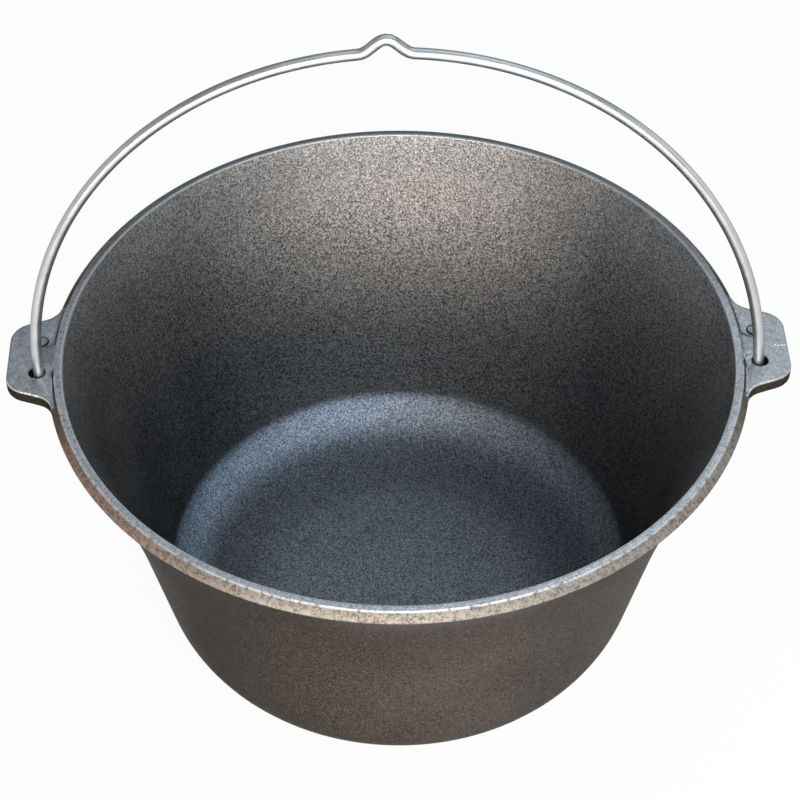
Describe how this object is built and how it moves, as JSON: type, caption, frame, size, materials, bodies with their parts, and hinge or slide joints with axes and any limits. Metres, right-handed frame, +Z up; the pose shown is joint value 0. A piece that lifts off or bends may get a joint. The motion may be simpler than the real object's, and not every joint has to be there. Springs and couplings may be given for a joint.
{
  "type": "cast iron cauldron",
  "caption": "Open cast iron cooking pot with a flared wall, a rim bead and cast ears, carried by a swinging steel wire bail with a hang notch.",
  "frame": {"origin": "centre of the flat base, on the surface that the pot stands on", "axes": "+X along the line of the ears, +Y to the back, where the bail folds down, +Z up"},
  "size_m": [0.357, 0.32, 0.3388],
  "materials": {
    "cast_iron": "as-cast sand grain, oiled, satin",
    "steel_wire": "drawn bright wire"
  },
  "bodies": {
    "pot": {"pot": "cast_iron"},
    "bail": {"bail": "steel_wire"}
  },
  "joints": [
    {"name": "bail_hinge", "type": "hinge", "parent": "pot", "child": "bail", "pos_m": [0, 0, 0.16475], "axis": [-1, 0, 0], "range_deg": [-18, 92]}
  ]
}
